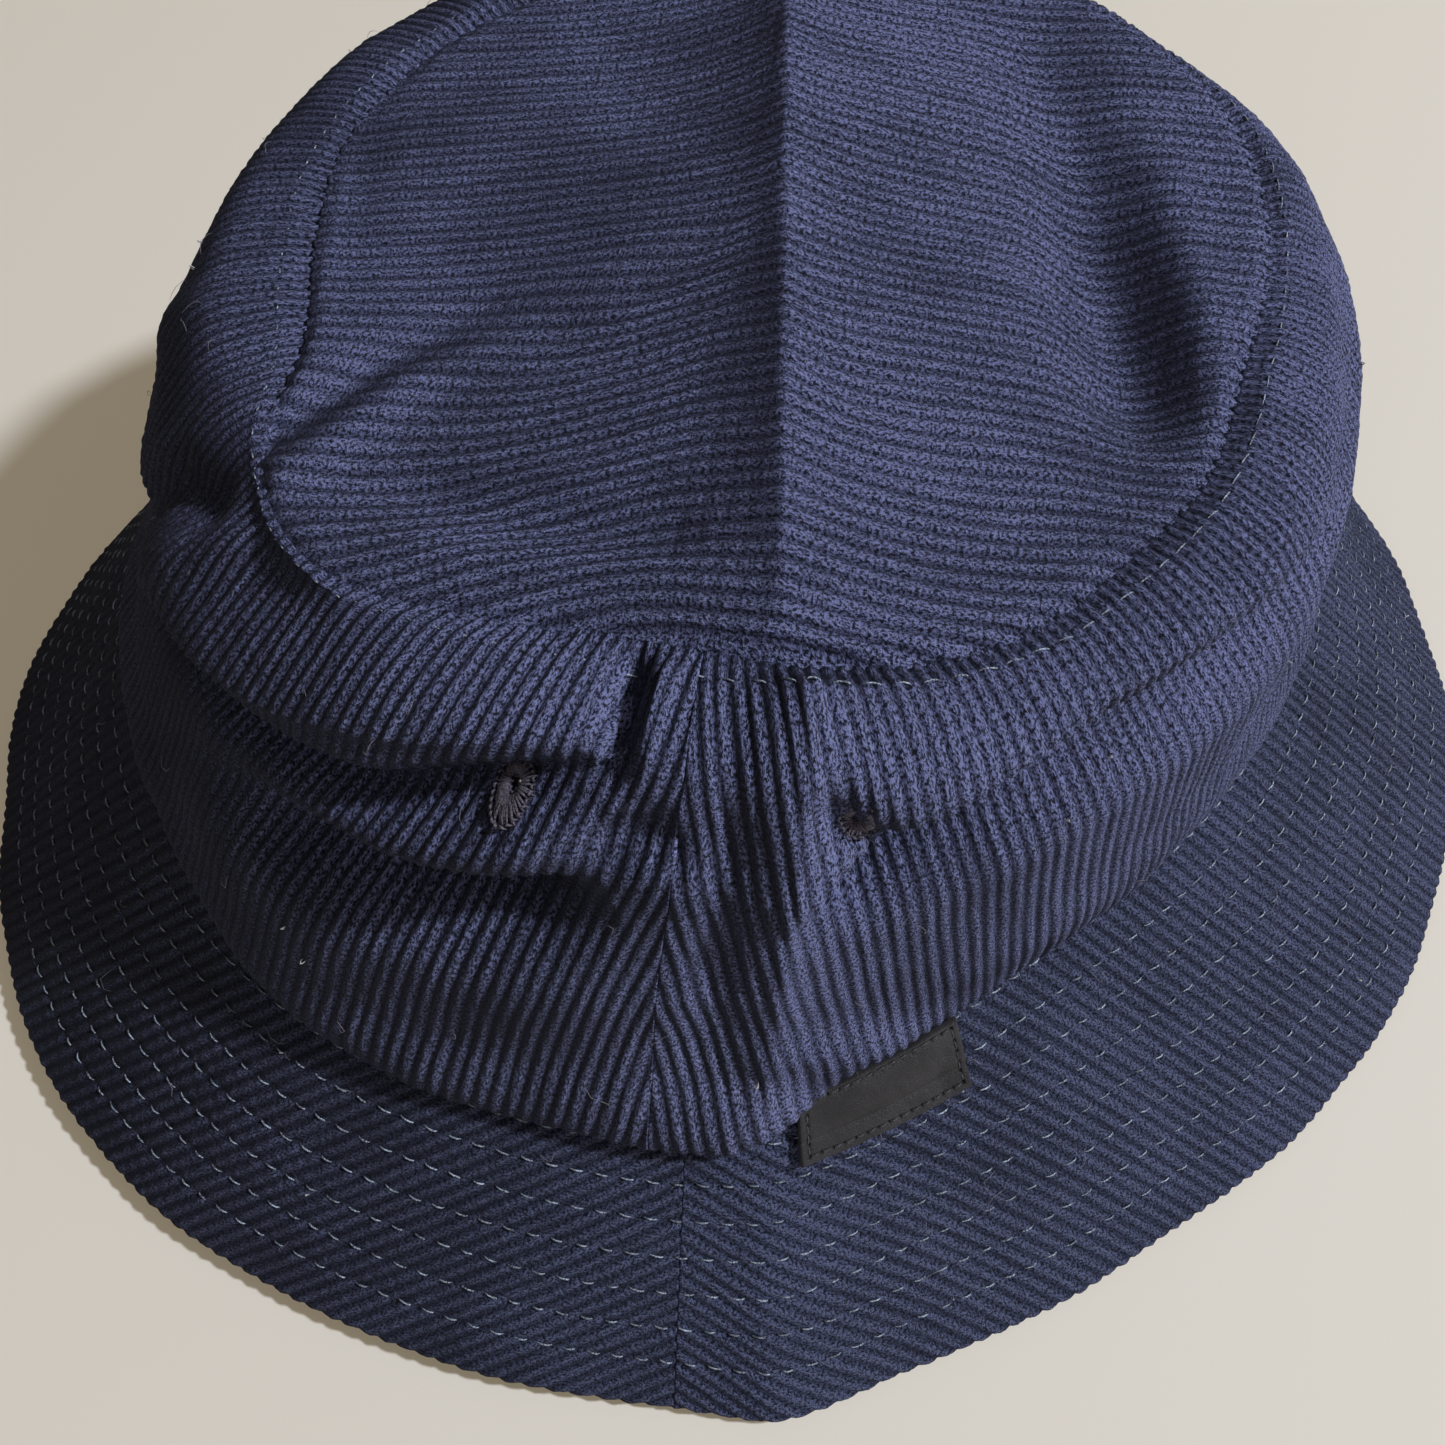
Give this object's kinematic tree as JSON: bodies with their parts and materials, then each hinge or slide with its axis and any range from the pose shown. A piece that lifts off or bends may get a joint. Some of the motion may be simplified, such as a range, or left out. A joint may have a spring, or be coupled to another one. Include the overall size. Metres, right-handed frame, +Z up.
{
  "type": "bucket hat",
  "caption": "Soft bucket hat in fine corduroy: oval flat-topped crown, down-sloping stitched brim, sweatband, lining, vent eyelets and a small blank leather label.",
  "frame": {"origin": "on the table, under the middle of the brim's outline", "axes": "+Z up out of the crown tip; the two side seams lie towards -Y (the side with the leather label) and +Y; +X and -X are the two halves, named front and rear"},
  "size_m": [0.2726, 0.263, 0.12],
  "materials": {
    "corduroy": "navy 11-wale cotton corduroy, brushed pile",
    "lining": "plain dark cotton",
    "interlining": "stiff white woven interlining",
    "sweatband": "navy cotton twill",
    "thread": "polyester sewing thread, slate blue",
    "eyelet_thread": "satin-stitched rayon thread",
    "leather": "charcoal leather, matt",
    "label_thread": "dark brown sewing thread",
    "care_label": "white satin tape, blank"
  },
  "bodies": {
    "root": {"brim_interlining_front": "interlining", "brim_interlining_rear": "interlining", "brim_rows_top": "thread", "brim_rows_under": "thread", "brim_top_front": "corduroy", "brim_top_rear": "corduroy", "brim_under_front": "corduroy", "brim_under_rear": "corduroy", "care_label": "care_label", "crown_tip": "corduroy", "label_stitching": "label_thread", "leather_label": "leather", "lining_side_front": "lining", "lining_side_rear": "lining", "lining_tip": "lining", "side_panel_front": "corduroy", "side_panel_rear": "corduroy", "sweatband": "sweatband", "sweatband_stitching": "thread", "tip_topstitching": "thread", "vent_eyelet_left_front": "eyelet_thread", "vent_eyelet_left_rear": "eyelet_thread", "vent_eyelet_right_front": "eyelet_thread", "vent_eyelet_right_rear": "eyelet_thread"}
  },
  "joints": []
}
